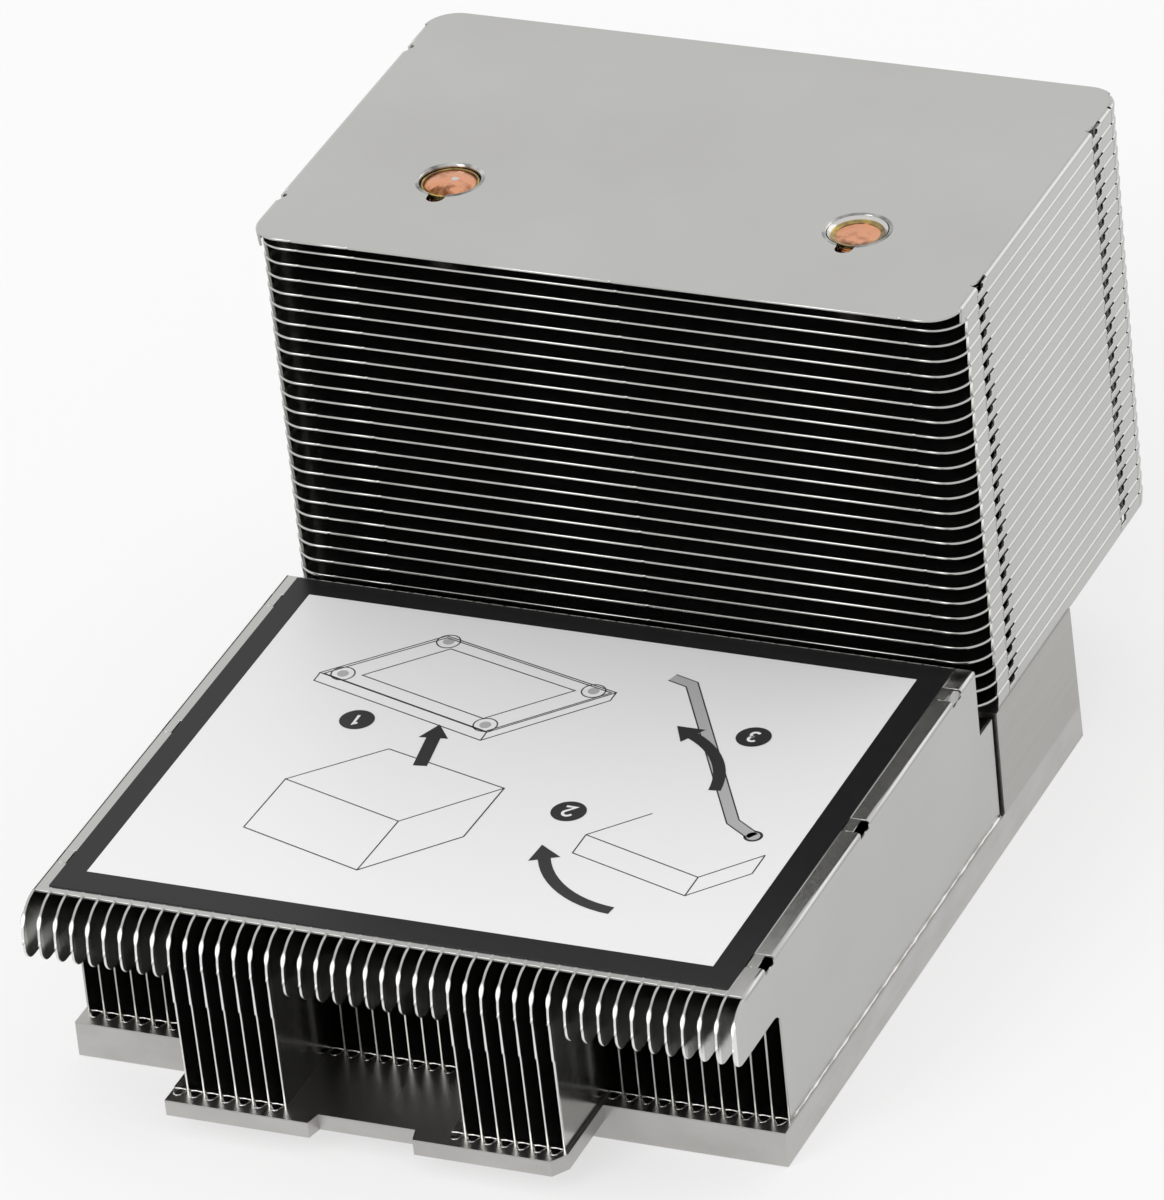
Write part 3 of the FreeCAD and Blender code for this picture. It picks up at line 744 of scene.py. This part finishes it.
# --------------------------------------------------------------------- label
# A printed plastic film, glued on the folds of the low bank: dark border, white
# field, and line drawings of a box, trays and a bar with three numbered discs.
film, tree, surface = shader("label_film", (0.008, 0.008, 0.009), 0.0, 0.3)
surface.inputs["Specular IOR Level"].default_value = 0.22
dress(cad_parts["label"], film)
field, tree, surface = shader("label_field", (0.78, 0.78, 0.78), 0.0, 0.4)
ink, tree, surface = shader("label_ink", (0.02, 0.02, 0.02), 0.0, 0.4)
grey, tree, surface = shader("label_grey", (0.4, 0.4, 0.4), 0.0, 0.4)
LABEL = 23.75


def printed(name, areas, material, lift):
    """Thin printed areas a few hundredths of a millimetre above the film; each
    area is an anticlockwise loop and its clockwise holes."""
    level = LABEL + lift
    chunks = [plate([np.array(loop, float) for loop in area], level - 0.008, level, 0.001) for area in areas]
    return assemble(name, chunks, material, None)


def line(points, width, closed=False):
    """Drawn line of even width: its corners moved half the width to either side
    along the mitre. A closed line runs anticlockwise."""
    points = np.array(points, float)
    if closed:
        away = outward(points) * width / 2
        return [points + away, (points - away)[::-1]]
    step = np.diff(points, axis=0)
    step /= np.linalg.norm(step, axis=1, keepdims=True)
    normal = np.column_stack([step[:, 1], -step[:, 0]])
    first = np.vstack([normal[:1], normal])
    last = np.vstack([normal, normal[-1:]])
    middle = first + last
    middle /= np.linalg.norm(middle, axis=1, keepdims=True)
    away = middle / np.maximum((middle * first).sum(axis=1, keepdims=True), 0.5) * width / 2
    return [np.concatenate([points + away, (points - away)[::-1]])]


def arrow(points, width, head):
    """Thick arrow: a line and a triangular head at its end."""
    points = np.array(points, float)
    ahead = points[-1] - points[-2]
    ahead /= np.linalg.norm(ahead)
    side = np.array([ahead[1], -ahead[0]])
    tip = points[-1]
    wing = side * head * 0.6
    return [line(points, width), [np.array([tip + wing, tip + ahead * head, tip - wing])]]


def disc(x, y, radius):
    """Round spot."""
    return [arc(x, y, radius, 0, 360, 40)[:-1]]


printed("label_field", [[[(-34.5, -43.2), (33.6, -43.2), (33.6, 12.1), (-34.5, 12.1)]]], field, 0.02)
THIN = 0.15
tray = np.array([(-27.0, -2.0), (-5.5, -8.5), (4.5, 2.0), (-17.0, 8.0)])
inset = np.array([(-22.5, -1.4), (-6.9, -6.1), (0.2, 1.3), (-15.6, 5.7)])
screws = [(-24.6, -1.6), (-6.2, -7.2), (2.1, 1.7), (-16.4, 7.0)]
box = [(-22.0, -22.0), (-7.5, -26.5), (0.5, -18.0), (-14.0, -14.0)]
low = [(-22.4, -31.5), (-7.9, -36.0), (0.1, -27.5)]
bar = np.array([(9.0, 6.2), (11.5, 5.4), (25.5, -18.0), (28.5, -20.0)])
printed("label_lines", [
    line(tray, THIN, True),
    line(tray * 0.97 + np.array([-0.35, -0.1]), THIN, True),
    line(inset, THIN, True),
    line([(-27.0, -2.0), (-27.0, -3.6), (-5.5, -10.1), (4.5, 0.4), (4.5, 2.0)], THIN),
    line([(-5.5, -8.5), (-5.5, -10.1)], THIN),
    line([(12.0, -24.0), (26.0, -28.5), (31.0, -23.0)], THIN),
    line([(12.0, -24.0), (12.0, -27.5), (26.0, -32.0), (31.0, -26.5), (31.0, -23.0)], THIN),
    line([(26.0, -28.5), (26.0, -32.0)], THIN),
    line([(12.0, -24.0), (17.0, -18.6)], THIN),
] + [line(disc(x, y, 1.25)[0], THIN, True) for x, y in screws], ink, 0.028)
printed("label_screws", [disc(x, y, 0.62) for x, y in screws], grey, 0.028)
printed("label_bar_edge", [line(bar, 1.45)] + [disc(28.5, -20.0, 1.0)], ink, 0.034)
printed("label_bar", [line(bar, 1.15)] + [disc(28.5, -20.0, 0.72)], grey, 0.042)
printed("label_box", [[[low[0], low[1], low[2], box[2], box[3], box[0]]]], field, 0.036)
printed("label_box_lines", [
    line(box, THIN, True),
    line([box[0], low[0], low[1], low[2], box[2]], THIN),
    line([box[1], low[1]], THIN),
], ink, 0.044)
SPOTS = [(-19.5, -9.6), (8.6, -20.4), (21.5, -2.5)]
printed("label_arrows", arrow([(-9.6, -16.2), (-10.4, -10.9)], 1.5, 2.6)
        + arrow(arc(21.0, -24.0, 12.5, 265, 205, 12), 1.3, 2.7)
        + arrow(arc(10.0, -14.0, 11.5, 5, 62, 12), 1.3, 2.7)
        + [disc(x, y, 1.85) for x, y in SPOTS], ink, 0.05)
ONE = [(-0.35, 0.65), (0.1, 1.0), (0.1, -1.0)]
TWO = [*arc(0.0, 0.42, 0.58, 165, -30, 9), (-0.6, -1.0), (0.65, -1.0)]
THREE = [arc(-0.02, 0.48, 0.5, 150, -90, 9), arc(-0.05, -0.5, 0.52, 90, -150, 9)]
strokes = []
for (x, y), shapes in zip(SPOTS, ([ONE], [TWO], THREE)):
    for shape in shapes:
        strokes.append(line([(x - 0.85 * across, y - 0.85 * up) for across, up in shape], 0.32))
printed("label_numbers", strokes, field, 0.058)

# ------------------------------------------------------------- floor, lights
# A pale paper floor, which keeps the shadow and looks nearly white in the camera
# and in the metal; a tall soft lamp at the noses, a weak one behind, white walls.
floor_material, tree, surface = shader("floor_paper", (0.8, 0.8, 0.8), 0.0, 0.9)
seen = tree.nodes.new("ShaderNodeLightPath")
any_of = seen.outputs["Is Camera Ray"]
for ray in ("Is Glossy Ray", "Is Transmission Ray"):
    larger = tree.nodes.new("ShaderNodeMath")
    larger.operation = "MAXIMUM"
    tree.links.new(any_of, larger.inputs[0])
    tree.links.new(seen.outputs[ray], larger.inputs[1])
    any_of = larger.outputs["Value"]
paper = tree.nodes.new("ShaderNodeMath")
paper.operation = "MULTIPLY"
paper.inputs[1].default_value = 0.6
tree.links.new(any_of, paper.inputs[0])
glow = tree.nodes.new("ShaderNodeEmission")
glow.inputs["Color"].default_value = (1.0, 1.0, 1.0, 1.0)
blend = tree.nodes.new("ShaderNodeMixShader")
tree.links.new(paper.outputs["Value"], blend.inputs["Fac"])
tree.links.new(surface.outputs["BSDF"], blend.inputs[1])
tree.links.new(glow.outputs["Emission"], blend.inputs[2])
tree.links.new(blend.outputs["Shader"], tree.nodes["Material Output"].inputs["Surface"])
bpy.ops.mesh.primitive_plane_add(size=6.0, location=(0.0, 0.0, -0.0001))
floor = bpy.context.object
floor.name = "floor"
dress(floor, floor_material)


def soft_light(name, place, aim, width, height, power):
    """An oblong area light pointing at a place."""
    data = bpy.data.lights.new(name, "AREA")
    data.shape = "RECTANGLE"
    data.size = width
    data.size_y = height
    data.energy = power
    light = bpy.data.objects.new(name, data)
    bpy.context.collection.objects.link(light)
    light.location = place
    light.rotation_euler = (Vector(aim) - Vector(place)).to_track_quat("-Z", "Y").to_euler()
    return light


soft_light("soft_front", (-0.37, -0.84, 0.42), (0.0, 0.0, 0.03), 0.42, 0.9, 4.0)
soft_light("soft_back", (0.64, 0.92, 0.46), (0.0, 0.0, 0.03), 0.8, 0.8, 1.3)

world = bpy.data.worlds.new("studio")
bpy.context.scene.world = world
world.use_nodes = True
tent = world.node_tree.nodes["Background"]
tent.inputs["Color"].default_value = (1.0, 1.0, 1.0, 1.0)
tent.inputs["Strength"].default_value = 1.0

camera_data = bpy.data.cameras.new("camera")
camera_data.sensor_fit = "HORIZONTAL"
camera_data.sensor_width = 36.0
camera_data.lens = 340.762
camera_data.clip_end = 20.0
camera = bpy.data.objects.new("camera", camera_data)
bpy.context.collection.objects.link(camera)
camera.location = (0.420996, -0.866316, 0.60774)
camera.rotation_euler = Euler((1.031998, 0.089356, 0.396553), "XYZ")
bpy.context.scene.camera = camera
bpy.context.scene.view_settings.view_transform = "Standard"
